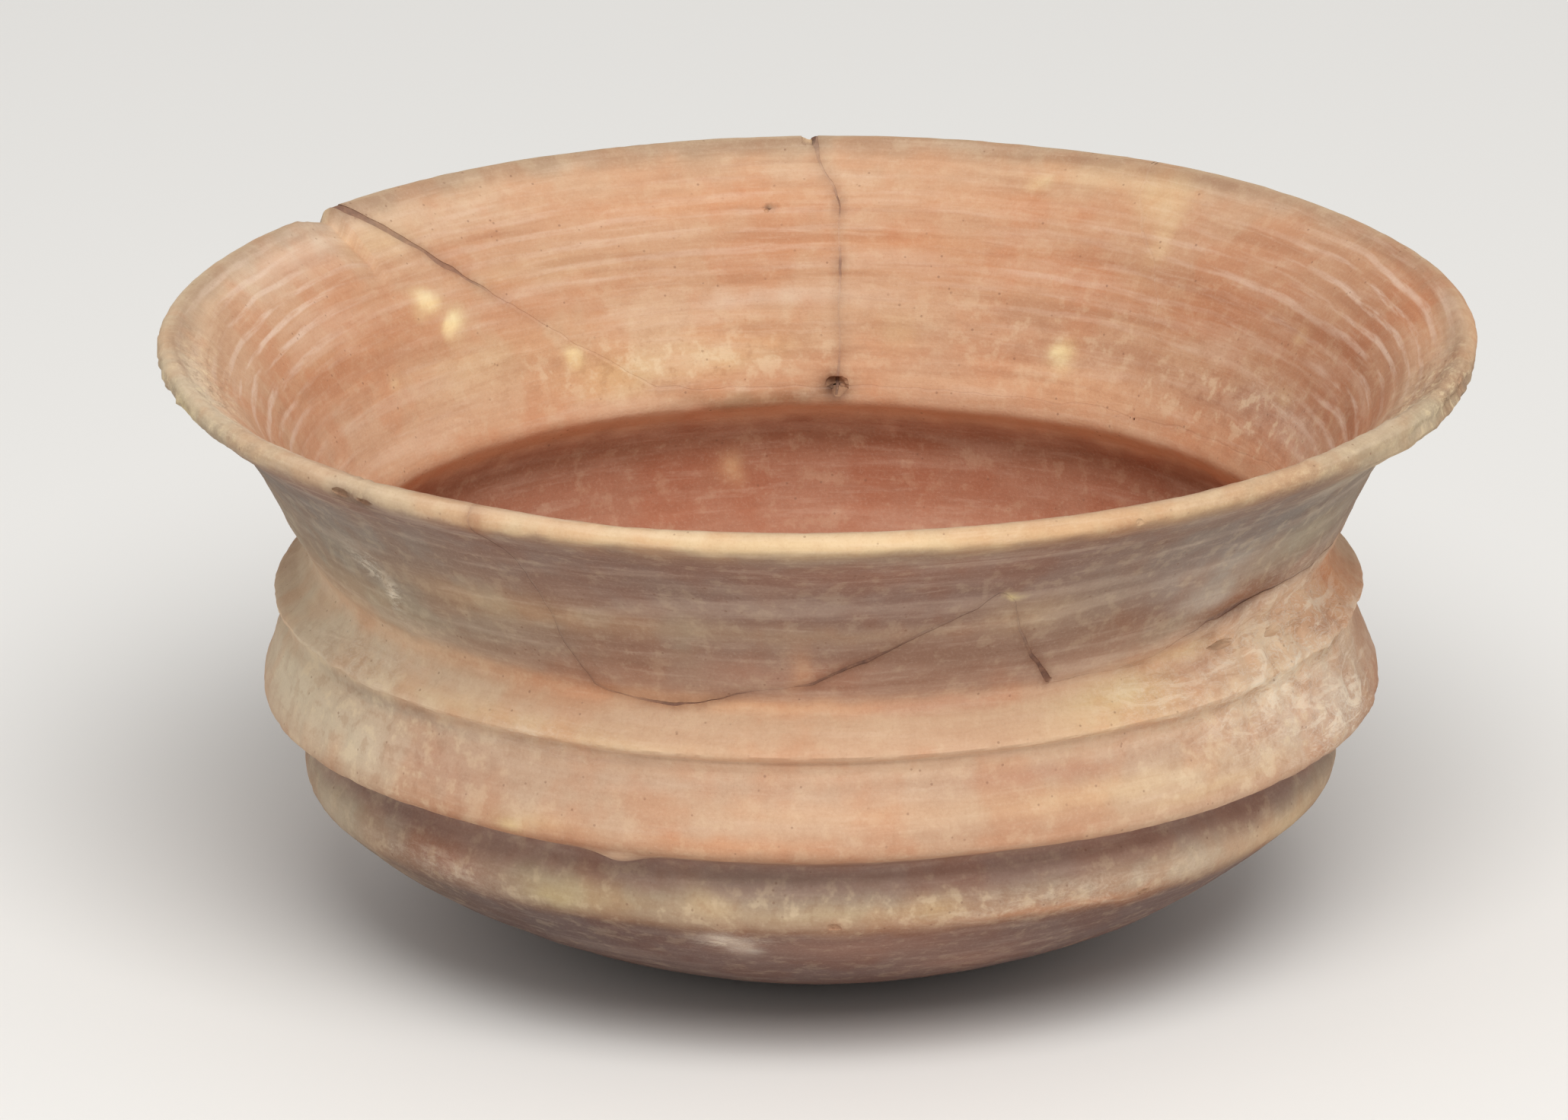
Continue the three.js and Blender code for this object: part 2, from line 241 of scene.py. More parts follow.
def inner_outline():
    """The rounded lip and the inside, down to the middle of the floor"""
    turn = np.linspace(-LIP_TILT, math.pi - LIP_TILT, LIP_STEPS + 1)[:, None]
    centre = np.array([RIM_RADIUS - LIP_RADIUS, HEIGHT - LIP_RADIUS])
    lip = centre + LIP_RADIUS * np.concatenate([np.cos(turn), np.sin(turn)], axis=1)
    throat = (NECK_RADIUS - NECK_WALL, ROOT_Z - THROAT_DROP)
    neck = bezier(lip[-1], lip[-1] - FLARE_END, np.add(throat, FLARE_START), throat, NECK_STEPS)
    hollow, waist = COLLAR_RADIUS - BODY_WALL, GROOVE_RADIUS - BODY_WALL
    bulge = ((hollow + waist) / 2 + HOLLOW_BULGE, RIDGE_EDGE_Z + RIDGE_RISE)
    belly = spline([throat, (hollow, COLLAR_GROOVE_Z), bulge, (waist, GROOVE_Z)], BELLY_STEPS)
    floor = bezier((waist, GROOVE_Z), (waist - BODY_WALL / 2, (GROOVE_Z + FLOOR_THICKNESS) / 2),
                   (waist / 2, FLOOR_THICKNESS), (FOOT_RADIUS / 3, FLOOR_THICKNESS), FLOOR_STEPS)
    return np.concatenate([lip[1:], neck[1:], belly[1:], floor[1:], [(0, FLOOR_THICKNESS)]])


def soften(outline, rounds=2):
    """Rounds the edges of an outline as wear does"""
    for _ in range(rounds):
        middle = (outline[:-2] + 2 * outline[1:-1] + outline[2:]) / 4
        outline = np.concatenate([outline[:1], middle, outline[-1:]])
    return outline


OUTER_COUNT = len(outer_outline())
OUTLINE = soften(np.concatenate([outer_outline(), inner_outline()]))
OUTLINE[:, 0] *= RIM_RADIUS / OUTLINE[:, 0].max()
ALONG = distances(OUTLINE)
LIP_ALONG = ALONG[OUTER_COUNT + LIP_STEPS // 2]


def smooth_step(low, high, value):
    """Goes softly from 0 to 1 as a value goes from low to high"""
    t = np.clip((value - low) / (high - low), 0, 1)
    return t * t * (3 - 2 * t)


def blob(azimuth, z, place):
    """How near points lie to a place: azimuth, height, half width and half height, in degrees and mm"""
    away = (azimuth - place[0] + 180) % 360 - 180
    return np.exp(-((away / place[2]) ** 2 + ((z / MM - place[1]) / place[3]) ** 2))


# Where the clay's two materials lie in a piece's slots
WORN, BROKEN = 0, 1

# Forms of the hand-made clay: how high they stand, and how far apart in millimetres
WHEEL_MARKS = 0.07 * MM
MARK_STEPS = (1.1, 0.6)
GRAIN = 0.045 * MM
GRAIN_STEP = 1.6
WOBBLE = 0.22 * MM
WOBBLE_STEP = 17
LUMP_STEP = 2.6
CRUMB_STEP = 0.9
# The foot stays flat, and the forms grow from there up to this height
FLAT_UP_TO = 6 * MM
# Places on the outside that stand in or out: azimuth, height, half width, half height and depth
HOLLOWS = [
    (-92, 38, 34, 3, 0.5), (88, 38, 34, 3, 0.3), (-90, 11, 40, 3.5, -0.45), (-90, 5.5, 40, 2.2, 0.3),
    (90, 3, 40, 3, 0.6), (-90, 30.5, 30, 1.6, -0.25), (-90, 23, 30, 1.2, -0.3), (0, 33.2, 45, 0.9, -0.4),
    (-90, 33.5, 30, 1, -0.8), (-90, 31.7, 30, 0.8, 0.3), (88, 33.3, 30, 0.9, -0.5),
    (88, 23.8, 34, 0.9, -0.6), (70, 57.6, 16, 1.5, -1), (-21.6, 23.3, 2.7, 0.7, -0.85),
    (49.8, 38, 1.8, 0.5, 0.5), (51.5, 42.1, 5, 0.8, 0.45), (37.2, 38.5, 2, 0.35, 0.3),
]
# Lumpy, worn stretches of the outside: the same place, and how far their lumps stand out
LUMPS = [
    (62, 36.5, 20, 6, 0.55), (74, 27, 16, 4, 0.35), (-66, 31, 24, 7, 0.25), (-20, 19, 50, 2.4, 0.2),
]
# How rough the lumps are that cut the chips, as a share of their size
LUMP_ROUGHNESS = 0.22
# The worn corner of the rim beside the thick break: its start and reach in degrees, and its form
WORN_FROM = 230
WORN_REACH = 4.5
WORN_DEPTH = 1.75 * MM
WORN_HEIGHT = 9 * MM
WORN_BEND = 1.4
# Rough stretches of the lip: azimuth, height, half width, half height, roughness and depth
ROUGH_LIP = [
    (73, 58.4, 13, 2.8, 0.9, 0.35), (-43.6, 59.2, 2.8, 1.4, 0.3, 0.3), (-62, 59.5, 12, 1.8, 0.5, 0.2),
    (-80, 58, 13, 2.4, 0.9, 0.3), (-18, 60, 5, 1.6, 0, 0.1), (45, 59.4, 16, 1.5, 0.4, 0.1),
    (233, 60, 2.4, 1.6, 0.4, 0.25),
]


def batches(count):
    """Slices that together cover so many points"""
    return [slice(start, start + BATCH) for start in range(0, count, BATCH)]


def nearest_on_line(place, points):
    """Distance in millimetres from points on the wall to a break line, and the line's values there"""
    line = even_line(points)[::2]
    angle = np.degrees(np.arctan2(place[:, 0], -place[:, 1]))
    r = np.hypot(place[:, 0], place[:, 1])
    best = np.empty(len(place))
    found = np.empty(len(place), int)
    for some in batches(len(place)):
        turn = (angle[some, None] - line[:, 0] + 180) % 360 - 180
        over = np.radians(turn) * r[some, None] / MM
        away = over ** 2 + (place[some, 2, None] / MM - line[:, 1]) ** 2
        found[some] = away.argmin(axis=1)
        best[some] = np.sqrt(away.min(axis=1))
    return best, line[found]


def break_shade(place, inside, reach=None):
    """How dark the nearest break is at each point, fading with distance where a reach is given"""
    shade = np.zeros(len(place))
    nearest = np.full(len(place), 1e3)
    for points in (LONG_BREAK, RIGHT_BREAK, BACK_BREAK):
        away, values = nearest_on_line(place, points)
        dark = values[:, 3] * (1 - inside) + values[:, 4] * inside
        if reach is None:
            shade = np.where(away < nearest, dark, shade)
            nearest = np.minimum(away, nearest)
        else:
            shade = np.maximum(shade, dark * np.exp(-(away / reach) ** 2))
    return shade


def worn_drop(azimuth, z):
    """How far the worn corner lowers the top of the neck"""
    past = (azimuth - WORN_FROM) % 360 / WORN_REACH
    high = smooth_step(HEIGHT - WORN_HEIGHT, HEIGHT, z)
    return WORN_DEPTH * np.clip(1 - past, 0, 1) ** WORN_BEND * high


def clay_points(recessed):
    """Points of the whole bowl's surface, ring by ring, with its wheel marks and its wear"""
    out = -sideways(OUTLINE)
    az = np.tile(np.arange(AROUND) * 360 / AROUND, len(OUTLINE))
    r, z = (np.repeat(OUTLINE[:, k], AROUND) for k in (0, 1))
    along = np.repeat(ALONG, AROUND) / MM
    n_r, n_z = (np.repeat(out[:, k], AROUND) for k in (0, 1))
    outside = np.repeat(np.arange(len(OUTLINE)) < OUTER_COUNT, AROUND)
    x, y = np.sin(np.radians(az)), np.cos(np.radians(az))
    marks = noise(np.stack([1.6 * x, 1.6 * y, along / MARK_STEPS[0]], axis=1), 3)
    marks += 0.6 * noise(np.stack([2.4 * x, 2.4 * y, along / MARK_STEPS[1]], axis=1), 5)
    place = polar(az, r, z) / MM
    rise = WHEEL_MARKS * marks + GRAIN * fractal(place / GRAIN_STEP, 2, 11)
    rise = rise + WOBBLE * noise(place / WOBBLE_STEP, 23)
    for *where, depth in HOLLOWS:
        rise = rise - depth * MM * blob(az, z, where) * outside
    for *where, height in LUMPS:
        rise = rise + height * MM * blob(az, z, where) * fractal(place / LUMP_STEP, 3, 43) * outside
    for *where, _, depth in ROUGH_LIP:
        rise = rise - depth * MM * blob(az, z, where) * (0.7 + 0.8 * fractal(place / CRUMB_STEP, 2, 31))
    if recessed:
        rise = rise - GLUE_SKIN - GLUE_RECESS * break_shade(polar(az, r, z), ~outside)
    rise = rise * np.where(outside, smooth_step(0, FLAT_UP_TO, z), 1)
    r = np.minimum(r + n_r * rise, RIM_RADIUS)
    z = z + n_z * rise
    z = np.clip(z - worn_drop(az, z), 0, HEIGHT)
    return polar(az, r, z).reshape(len(OUTLINE), AROUND, 3)


def link(name, data):
    """A new object in the scene"""
    made = bpy.data.objects.new(name, data)
    bpy.context.scene.collection.objects.link(made)
    return made


def clay_object(name, mesh, material=None):
    """A new object with the clay's two materials, and a given one of them on all its faces"""
    for slot in CLAY_SLOTS:
        mesh.materials.append(slot)
    if material is not None:
        mesh.polygons.foreach_set("material_index", [material] * len(mesh.polygons))
    return link(name, mesh)


def mesh_object(name, points, faces, material=WORN):
    """A new clay object from an array of points and its faces"""
    mesh = bpy.data.meshes.new(name)
    mesh.from_pydata(points.tolist(), [], faces)
    return clay_object(name, mesh, material)


def make_bowl(name, recessed=False):
    """The whole unbroken bowl, closed at both ends of its axis"""
    rings = clay_points(recessed)
    rings[[0, -1], 0, :2] = 0
    points = np.concatenate([rings[0, :1], rings[1:-1].reshape(-1, 3), rings[-1, :1]])

    def at(i, k):
        return 1 + (i - 1) * AROUND + k % AROUND

    end = len(rings) - 2
    faces = []
    for k in range(AROUND):
        faces.append((0, at(1, k + 1), at(1, k)))
        faces += [(at(i, k), at(i, k + 1), at(i + 1, k + 1), at(i + 1, k)) for i in range(1, end)]
        faces.append((at(end, k), at(end, k + 1), len(points) - 1))
    return mesh_object(name, points, faces)


def even_line(points):
    """A break line with even steps, roughened from side to side, with the same values at each point"""
    line = np.array(points, float)
    line[:, 0] *= BREAK_ARC
    along = distances(line[:, :2])
    steps = np.linspace(0, along[-1], int(along[-1] / BREAK_STEP))
    even = np.stack([np.interp(steps, along, column) for column in line.T], axis=1)
    place = np.stack([steps / BREAK_SWAY, steps * 0 + points[0][0], steps * 0], axis=1)
    jitter = BREAK_JITTER * fractal(place, 2, 17) + BREAK_FRAY * noise(place * 5, 19)
    even[:, :2] += sideways(even[:, :2]) * jitter[:, None]
    even[:, 2] *= 1 + 0.5 * fractal(place * 1.3, 2, 53)
    even[:, 0] /= BREAK_ARC
    return even


def make_blade(name, line, widen=0.0):
    """A thin curtain along a break line, standing out from the axis, that cuts the gap"""
    flat = line[:, :2] * [BREAK_ARC, 1]
    half = np.maximum(line[:, 2] + widen, THINNEST_BREAK)[:, None] * sideways(flat)
    radii = np.linspace(BLADE_FROM, BLADE_TO, BLADE_STEPS)
    out, back = ([polar(edge[:, 0] / BREAK_ARC, radius, edge[:, 1] * MM) for radius in radii]
                 for edge in (flat + half, flat - half))
    sections = np.stack(out + back[::-1], axis=1)
    count, corners = sections.shape[:2]
    faces = []
    for s in range(count - 1):
        for c in range(corners):
            a, b = s * corners + c, s * corners + (c + 1) % corners
            faces.append((a, b, b + corners, a + corners))
    faces.append(tuple(range(corners - 1, -1, -1)))
    faces.append(tuple(range((count - 1) * corners, count * corners)))
    return mesh_object(name, sections.reshape(-1, 3), faces, BROKEN)


def make_lump(azimuth, z, radius, beyond, size, seed):
    """A rough closed lump that cuts a chip; size is its half width, depth and height"""
    mesh = bpy.data.meshes.new("lump")
    lump = bmesh.new()
    bmesh.ops.create_icosphere(lump, subdivisions=4, radius=1)
    points = np.array([v.co for v in lump.verts])
    points = points * (1 + LUMP_ROUGHNESS * fractal(points * 1.5 + seed, 3, seed))[:, None]
    points = points * np.array(size) * MM
    spin = np.array(Matrix.Rotation(math.radians(azimuth), 3, "Z"))
    points = points @ spin.T + polar(azimuth, radius + beyond * MM, z * MM)
    for vertex, place in zip(lump.verts, points):
        vertex.co = place
    lump.to_mesh(mesh)
    lump.free()
    return clay_object("lump", mesh, BROKEN)


def cut(piece, tool, operation="DIFFERENCE", keep_tool=False):
    """Cuts a piece with a tool and keeps the result in its mesh"""
    modifier = piece.modifiers.new("cut", "BOOLEAN")
    modifier.object = tool
    modifier.operation = operation
    modifier.solver = "MANIFOLD"
    bpy.context.view_layer.update()
    made = bpy.data.meshes.new_from_object(piece.evaluated_get(bpy.context.evaluated_depsgraph_get()))
    piece.modifiers.clear()
    old, piece.data = piece.data, made
    bpy.data.meshes.remove(old)
    if not keep_tool:
        bpy.data.objects.remove(tool)


def loose_parts(piece):
    """Vertex groups of a mesh that no edge joins, the largest first"""
    mesh = piece.data
    edges = np.empty(len(mesh.edges) * 2, np.int32)
    mesh.edges.foreach_get("vertices", edges)
    edges = edges.reshape(-1, 2)
    label = np.arange(len(mesh.vertices))
    while True:
        low = np.minimum(label[edges[:, 0]], label[edges[:, 1]])
        new = label.copy()
        np.minimum.at(new, edges[:, 0], low)
        np.minimum.at(new, edges[:, 1], low)
        new = new[new]
        if (new == label).all():
            break
        label = new
    names, counts = np.unique(label, return_counts=True)
    return [np.flatnonzero(label == name) for name in names[np.argsort(-counts)]]


def take_part(piece, name, chosen):
    """A new object from some of a mesh's vertices"""
    taken = np.zeros(len(piece.data.vertices), bool)
    taken[chosen] = True
    made = bmesh.new()
    made.from_mesh(piece.data)
    made.verts.ensure_lookup_table()
    bmesh.ops.delete(made, geom=[v for v in made.verts if not taken[v.index]], context="VERTS")
    mesh = bpy.data.meshes.new(name)
    made.to_mesh(mesh)
    made.free()
    return clay_object(name, mesh)


def positions(mesh):
    """The places of a mesh's vertices"""
    flat = np.empty(len(mesh.vertices) * 3, np.float32)
    mesh.vertices.foreach_get("co", flat)
    return flat.reshape(-1, 3).astype(float)


def set_attribute(mesh, name, values):
    """Keeps a number for each vertex of a mesh"""
    attribute = mesh.attributes.new(name, "FLOAT", "POINT")
    attribute.data.foreach_set("value", np.asarray(values, np.float32))


def nearest_on_outline(r, z):
    """Index of the outline's nearest point to each radius and height"""
    found = np.empty(len(r), int)
    for some in batches(len(r)):
        away = (r[some, None] - OUTLINE[:, 0]) ** 2 + (z[some, None] - OUTLINE[:, 1]) ** 2
        found[some] = away.argmin(axis=1)
    return found


def srgb(red, green, blue):
    """A colour as the eye reads it, from 0 to 255, turned into the shader's own numbers"""
    return tuple((c / 12.92 if c <= 0.04045 else ((c + 0.055) / 1.055) ** 2.4)
                 for c in (red / 255, green / 255, blue / 255)) + (1,)


# Colours of the clay and of what time has left on it; some also serve as painted shade and painted light
# in the patches below
CREAM = srgb(222, 192, 148)
YELLOW = srgb(226, 206, 150)
CHALK = srgb(232, 222, 206)
OLIVE = srgb(170, 156, 130)
GREY = srgb(146, 134, 122)
MAUVE = srgb(138, 110, 100)
PEACH = srgb(222, 168, 124)
ORANGE = srgb(212, 144, 98)
ROSE = srgb(188, 138, 114)
SAND = srgb(214, 198, 170)
SHELL = srgb(214, 180, 150)
PALE = srgb(218, 196, 168)
SLATE = srgb(128, 121, 116)
FAIR = srgb(238, 212, 180)
STRAW = srgb(240, 222, 172)
# Painted shadow: the dim violet grey of the shade on the base's underside
UNDERSIDE_SHADOW = srgb(92, 79, 77)
CINNAMON = srgb(170, 116, 84)
RUST = srgb(150, 98, 68)
UMBER = srgb(98, 66, 48)

# Colour of the clay by height, outside and inside: a height in millimetres, red, green and blue
# Outside, paler at 32.4 to 33.6 mm as painted light that softens the collar groove's shade
OUTSIDE_TONES = [
    (0, 121, 97, 91), (10, 124, 99, 91), (14.6, 119, 95, 87), (15.3, 142, 106, 84), (16.2, 172, 143, 118),
    (18.8, 168, 147, 127), (20, 174, 145, 130), (21.5, 154, 124, 112), (23.2, 150, 112, 90),
    (24.2, 174, 130, 101), (25.4, 188, 150, 121), (28, 190, 160, 134), (31, 188, 156, 130),
    (32.4, 198, 163, 134), (33.6, 207, 170, 140), (35, 202, 165, 134), (37.2, 202, 167, 136),
    (38.4, 200, 161, 132), (39.6, 172, 135, 113), (43, 149, 118, 100), (50, 143, 115, 102),
    (57, 133, 108, 97), (58, 152, 124, 104), (58.6, 205, 176, 139), (60, 206, 178, 142),
]
# Inside, darker around 33 mm as painted shade under the throat's overhang, and paler at 35.6 to 36.8 mm
# as painted light that softens the shade below the throat's edge
INSIDE_TONES = [
    (5, 178, 126, 100), (26, 176, 124, 98), (30, 164, 112, 87), (33, 144, 98, 74), (34.6, 172, 126, 100),
    (35.6, 214, 177, 147), (36.8, 222, 183, 150), (38, 208, 162, 127), (44, 204, 163, 131),
    (50, 197, 153, 119), (56, 200, 159, 126), (58.4, 206, 170, 137), (59.4, 182, 153, 125),
    (60, 174, 145, 118),
]

# Patches of colour: azimuth, height, half width, half height, colour and strength
OUTSIDE_PATCHES = [
    # Left half of the neck, olive and grey, with a violet streak under the lip
    (-64, 46, 26, 9, OLIVE, 0.75), (-64, 53, 24, 5, SLATE, 0.7), (-62, 45.6, 20, 5, SLATE, 0.4),
    (-44, 50, 9, 7, GREY, 0.35), (-50, 57, 30, 2.2, MAUVE, 0.5), (-56, 43, 12, 1.6, OLIVE, 0.5),
    (-36, 47, 10, 2, CREAM, 0.3),
    # Centre of the neck: warmer near the root, paler rings between
    (-20, 47, 14, 1.3, CREAM, 0.2), (4, 46.6, 12, 1, CREAM, 0.16), (-4, 42.4, 10, 1.6, ROSE, 0.35),
    (13, 44.4, 9, 3, RUST, 0.15), (-12, 52, 9, 1, UMBER, 0.18), (8, 54.5, 14, 2, ROSE, 0.25),
    (31, 43.4, 5, 2.5, RUST, 0.25), (30, 48, 6, 5, OLIVE, 0.2), (19.2, 50.1, 0.36, 0.5, YELLOW, 1),
    (-14, 46, 2, 4, OLIVE, 0.25), (-2.6, 42.5, 1.2, 2.5, PEACH, 0.35), (21, 47.6, 5, 2, CREAM, 0.25),
    (50, 45.4, 6, 1.2, SAND, 0.3),
    # Right half of the neck, grey and pale; rusty at the open break, and darkened in its crevice with
    # painted shade
    (54, 52, 15, 7, SLATE, 0.8), (60, 47.5, 12, 3, OLIVE, 0.7), (46, 48, 9, 2.4, CHALK, 0.22),
    (62, 55, 10, 2.5, OLIVE, 0.5), (38, 54, 8, 4, GREY, 0.5), (51.5, 43.6, 6, 1.7, RUST, 0.6),
    (55, 43.4, 2.4, 0.9, UMBER, 0.4), (44, 44.4, 4, 1.2, CHALK, 0.35), (64, 44, 5, 1.2, ROSE, 0.3),
    (46, 39.4, 12, 1.4, SHELL, 0.8), (62, 40.2, 9, 2.2, SHELL, 0.85), (34, 38.4, 8, 0.8, SHELL, 0.6),
    # At (49.8, 37.9) and (37.2, 38.5), painted shadow in two small hollows at the root
    (77, 41, 7, 2, SHELL, 0.8), (40, 42, 5, 1.6, OLIVE, 0.3), (49.8, 37.9, 2, 0.5, UMBER, 0.9),
    (49.4, 39.4, 1.6, 0.5, SHELL, 0.8), (37.2, 38.5, 2, 0.35, RUST, 0.5),
    # At the left of the middle ridge: a line of painted shadow under the ridge's edge, and a pale oval of
    # painted light on the bump hanging below it
    (-22.2, 24.4, 2.4, 0.35, RUST, 0.4), (-21.6, 23.4, 2.1, 0.6, SHELL, 0.9),
    (50.5, 42.6, 5, 1, RUST, 0.75), (51, 42, 5, 0.7, UMBER, 0.6), (74, 50, 9, 8, GREY, 0.7),
    (80, 54, 12, 6, OLIVE, 0.5),
    # Lip
    (0, 59, 26, 2, CREAM, 0.5), (-78, 59.4, 32, 2.2, SAND, 0.4), (-72, 59, 14, 1.6, OLIVE, 0.4),
    (-44.9, 58.6, 1.5, 0.8, UMBER, 0.8), (-42.3, 58.2, 1.3, 0.8, UMBER, 0.8),
    (-43.6, 57.2, 2.6, 0.9, UMBER, 0.4), (70, 59, 12, 2.6, OLIVE, 0.7), (77, 59.4, 4, 1.6, RUST, 0.4),
    (36, 59, 9, 1.8, srgb(186, 148, 110), 0.6), (55, 59, 10, 1.6, OLIVE, 0.4),
    (92, 59, 12, 2, ORANGE, 0.5), (62, 57, 9, 1.4, CREAM, 0.5), (27, 58.4, 2, 0.8, RUST, 0.3),
    (-30.6, 58.9, 0.8, 1.6, RUST, 0.5), (-72, 58.4, 2, 0.8, YELLOW, 0.5),
    # Root and shoulder
    (-46, 38.9, 26, 0.9, PEACH, 0.4), (-8, 38.4, 24, 0.8, PEACH, 0.5), (-72, 36.5, 20, 4, SAND, 0.9),
    (-40, 35.2, 16, 0.8, CREAM, 0.5), (-22, 34.4, 10, 0.6, CREAM, 0.4), (12, 38.2, 8, 0.7, ROSE, 0.5),
    (34, 36.6, 7, 1.5, YELLOW, 0.5), (32, 34.8, 8, 1.2, CREAM, 0.5), (48, 37.6, 8, 2.4, ROSE, 0.4),
    (58, 36, 10, 3, CREAM, 0.45), (-58, 38.4, 12, 0.9, PEACH, 0.5), (60, 34.6, 6, 1, ROSE, 0.15),
    (44, 38.9, 5, 0.8, YELLOW, 0.4), (-62, 36, 20, 5, PALE, 0.5), (64, 35.6, 18, 5, FAIR, 0.7),
    (58, 30.5, 12, 4, FAIR, 0.4), (79, 37.8, 9, 3.2, ORANGE, 0.8), (50, 36.6, 5, 1.4, ROSE, 0.2),
    (61, 38.4, 3.5, 0.8, ROSE, 0.3), (67, 36.8, 4, 1.2, CINNAMON, 0.2), (70, 35.6, 2.4, 0.5, RUST, 0.45),
    (57, 35.2, 3, 0.5, CINNAMON, 0.2), (44, 37.2, 4, 0.6, ROSE, 0.4), (56, 40.4, 5, 1.2, ROSE, 0.35),
    (47.6, 39.4, 1.2, 1.2, RUST, 0.5), (68, 35.4, 4, 1.2, ROSE, 0.2), (58, 37.8, 10, 2, FAIR, 0.45),
    (72, 33, 5, 0.8, OLIVE, 0.4),
    # Collar groove: darker at the left with painted shade, and paler at the right with painted light that
    # softens its shade
    (-54, 32.4, 18, 0.7, GREY, 0.5), (-24, 32.6, 14, 0.5, MAUVE, 0.2), (54, 33.2, 12, 0.9, FAIR, 0.3),
    # Middle ridge
    (-76, 29, 18, 4.6, SAND, 0.9), (-56, 28, 9, 3, SAND, 0.6), (-44, 29, 7, 2.4, ROSE, 0.4),
    (-30, 26.2, 5, 0.9, CREAM, 0.4), (-33.4, 25.4, 1.6, 0.6, YELLOW, 0.5), (0, 28.6, 20, 1.6, PEACH, 0.3),
    (-10, 25.8, 10, 0.9, ORANGE, 0.4), (32, 28.2, 14, 1.2, CREAM, 0.45), (56, 29.5, 8, 1.4, ROSE, 0.3),
    (66, 28, 9, 3.4, CHALK, 0.3), (44, 26.2, 10, 0.7, CREAM, 0.4), (24, 30.8, 9, 0.8, ROSE, 0.3),
    (-78, 26, 16, 2, PALE, 0.5), (42, 24.3, 30, 1, SHELL, 0.6),
    # Band under it: yellow patches below, red at the left, grey violet above
    (-28, 18, 9, 1.6, YELLOW, 0.35), (-31, 16.8, 3, 0.9, YELLOW, 0.5), (2, 17.4, 13, 1, YELLOW, 0.2),
    (-13, 18.2, 3, 1.4, CREAM, 0.5), (-46, 18.2, 7, 2.4, ROSE, 0.8), (-51, 19, 4, 2, RUST, 0.35),
    (-68, 17.6, 11, 2.6, SAND, 0.6), (48, 17.6, 16, 1.8, PALE, 0.55), (12, 17.8, 3, 1, YELLOW, 0.25),
    (22, 20, 22, 1.2, MAUVE, 0.4), (-56, 20.6, 16, 1, MAUVE, 0.6), (-8, 20.6, 12, 1, GREY, 0.35),
    (28, 16.2, 12, 0.5, ORANGE, 0.4), (60, 19.6, 9, 1.2, MAUVE, 0.6), (64, 16.8, 10, 1.4, CREAM, 0.5),
    # Rounded base, with painted shadow on its underside: heavy at the lower left, light at the lower
    # right
    (-48, 11, 26, 7, UNDERSIDE_SHADOW, 0.7), (4, 13, 16, 2.4, ROSE, 0.35), (-11.6, 14, 3, 0.9, CHALK, 0.65),
    (-9.6, 12.8, 1.6, 1.1, CHALK, 0.5), (44, 11, 18, 5, UNDERSIDE_SHADOW, 0.3), (40, 15.2, 5, 0.6, RUST, 0.5),
    (54.8, 5.2, 1.4, 0.8, ORANGE, 0.8), (1.2, 16.2, 1.3, 0.8, CINNAMON, 0.3),
    (-70, 13, 18, 3, OLIVE, 0.4), (20, 9, 9, 2, ROSE, 0.3),
    # The back, which repeats what the sides show
    (116, 47, 22, 8, OLIVE, 0.5), (150, 52, 18, 4, GREY, 0.5), (196, 46, 26, 6, ROSE, 0.35),
    (236, 50, 24, 6, OLIVE, 0.6), (128, 36, 22, 2.6, CREAM, 0.5), (170, 30, 26, 2, PEACH, 0.5),
    (215, 28, 20, 2.4, CREAM, 0.5), (250, 36, 16, 3, OLIVE, 0.5), (140, 18, 18, 2, YELLOW, 0.4),
    (188, 19, 14, 2, ROSE, 0.5), (240, 17.6, 16, 1.6, CREAM, 0.5), (162, 11, 30, 4, MAUVE, 0.5),
    (230, 10, 20, 3, ROSE, 0.4), (100, 27, 18, 3, ROSE, 0.4), (108, 14, 12, 1.2, CHALK, 0.4),
]
